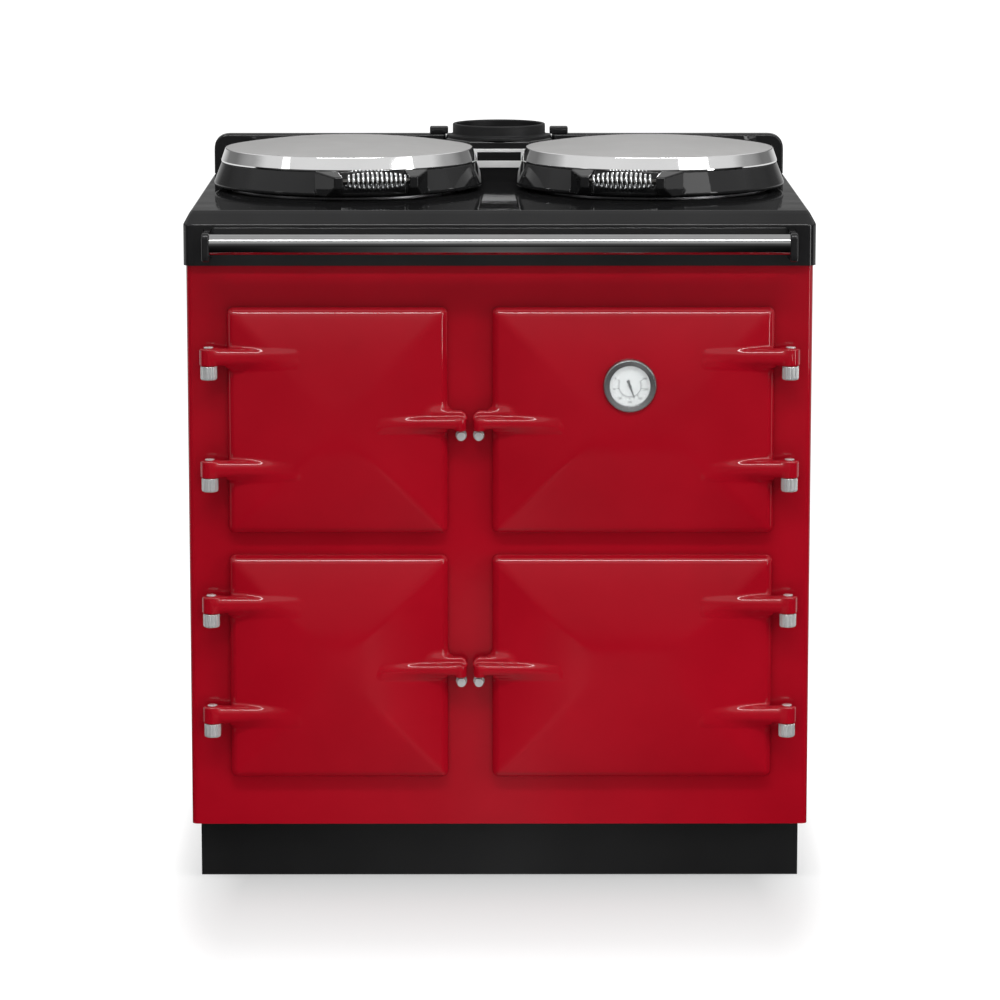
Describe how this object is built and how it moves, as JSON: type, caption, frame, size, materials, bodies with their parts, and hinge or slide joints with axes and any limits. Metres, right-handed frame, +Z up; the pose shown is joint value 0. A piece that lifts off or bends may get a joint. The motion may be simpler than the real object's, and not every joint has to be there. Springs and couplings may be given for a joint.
{
  "type": "range cooker",
  "caption": "Enamelled cast-iron range cooker with vaulted doors on side hinges, domed hinged lids over its hotplates, a towel rail and a flue collar.",
  "frame": {"origin": "middle of the footprint, on the floor", "axes": "+Z up, -Y towards the front with its doors, +X to the right seen from the front"},
  "size_m": [0.8264, 0.6222, 0.9805],
  "materials": {
    "red_enamel": "glossy vitreous enamel on cast iron, thick and slightly rippled",
    "black_enamel": "glossy black vitreous enamel on cast iron",
    "black_satin": "satin black stove paint on sheet steel",
    "chrome": "polished chrome plate",
    "bright_cover": "bright domed sheet, finely polished",
    "bare_iron": "machined and bare cast iron",
    "sheet_steel": "plain sheet steel",
    "liner_enamel": "grey speckled enamel",
    "rope": "knitted glass rope",
    "wool": "mineral wool slab",
    "dial_face": "silvered dial with plain numbers",
    "dial_glass": "clear flat glass",
    "pointer_paint": "dark satin paint",
    "knob_black": "matt black plastic"
  },
  "bodies": {
    "cabinet": {"plinth": "black_satin", "levelling_feet": "sheet_steel", "base_plate": "sheet_steel", "side_panel_left": "red_enamel", "side_panel_right": "red_enamel", "back_panel": "black_satin", "front_plate": "red_enamel", "top_plate": "black_enamel", "upstand": "black_enamel", "hotplate_left": "bare_iron", "hotplate_right": "bare_iron", "flueway": "bare_iron", "flue_box": "black_enamel", "flue_collar": "black_satin", "flue_clamps": "black_satin", "badge_plate": "chrome", "badge_inset": "black_enamel", "towel_rail": "chrome", "rail_brackets": "black_enamel", "main_oven": "bare_iron", "slow_oven": "bare_iron", "main_oven_shelf": "chrome", "slow_oven_shelf": "chrome", "combustion_chamber": "bare_iron", "burner_compartment": "sheet_steel", "burner": "bare_iron", "control_panel": "sheet_steel", "insulation": "wool", "hinge_posts": "chrome", "hinge_pins": "chrome", "catch_studs": "chrome", "lid_hinge_brackets": "black_enamel", "lid_hinge_pins": "chrome"},
    "upper_left_door": {"door_upper_left": "red_enamel", "liner_upper_left": "liner_enamel", "seal_upper_left": "rope"},
    "upper_right_door": {"door_upper_right": "red_enamel", "liner_upper_right": "liner_enamel", "seal_upper_right": "rope", "thermometer_bezel": "chrome", "thermometer_dial": "dial_face", "thermometer_glass": "dial_glass"},
    "lower_left_door": {"door_lower_left": "red_enamel", "liner_lower_left": "liner_enamel", "seal_lower_left": "rope"},
    "lower_right_door": {"door_lower_right": "red_enamel", "liner_lower_right": "liner_enamel", "seal_lower_right": "rope"},
    "pointer": {"thermometer_pointer": "pointer_paint"},
    "left_lid": {"lid_left_base": "black_enamel", "lid_left_cover": "bright_cover", "lid_left_liner": "sheet_steel", "lid_left_rod": "chrome", "lid_left_spring": "chrome"},
    "right_lid": {"lid_right_base": "black_enamel", "lid_right_cover": "bright_cover", "lid_right_liner": "sheet_steel", "lid_right_rod": "chrome", "lid_right_spring": "chrome"},
    "knob": {"thermostat_knob": "knob_black"}
  },
  "joints": [
    {"name": "upper_left_door_hinge", "type": "hinge", "parent": "cabinet", "child": "upper_left_door", "pos_m": [-0.38, -0.26288, 0.63], "axis": [0, 0, -1], "range_deg": [0, 130]},
    {"name": "upper_right_door_hinge", "type": "hinge", "parent": "cabinet", "child": "upper_right_door", "pos_m": [0.38, -0.26288, 0.63], "axis": [0, 0, 1], "range_deg": [0, 130]},
    {"name": "lower_left_door_hinge", "type": "hinge", "parent": "cabinet", "child": "lower_left_door", "pos_m": [-0.38, -0.26288, 0.301], "axis": [0, 0, -1], "range_deg": [0, 130]},
    {"name": "lower_right_door_hinge", "type": "hinge", "parent": "cabinet", "child": "lower_right_door", "pos_m": [0.38, -0.26288, 0.301], "axis": [0, 0, 1], "range_deg": [0, 130]},
    {"name": "left_lid_hinge", "type": "hinge", "parent": "cabinet", "child": "left_lid", "pos_m": [-0.24654, 0.26786, 0.953], "axis": [-0.9781, -0.2079, 0], "range_deg": [0, 93]},
    {"name": "right_lid_hinge", "type": "hinge", "parent": "cabinet", "child": "right_lid", "pos_m": [0.24654, 0.26786, 0.953], "axis": [-0.9781, 0.2079, 0], "range_deg": [0, 93]},
    {"name": "pointer_spindle", "type": "hinge", "parent": "upper_right_door", "child": "pointer", "pos_m": [0.17, -0.27187, 0.679], "axis": [0, -1, 0], "range_deg": [-137, 96]},
    {"name": "thermostat_spindle", "type": "hinge", "parent": "cabinet", "child": "knob", "pos_m": [-0.27375, -0.05087, 0.263], "axis": [0, 1, 0], "range_deg": [0, 270]}
  ]
}
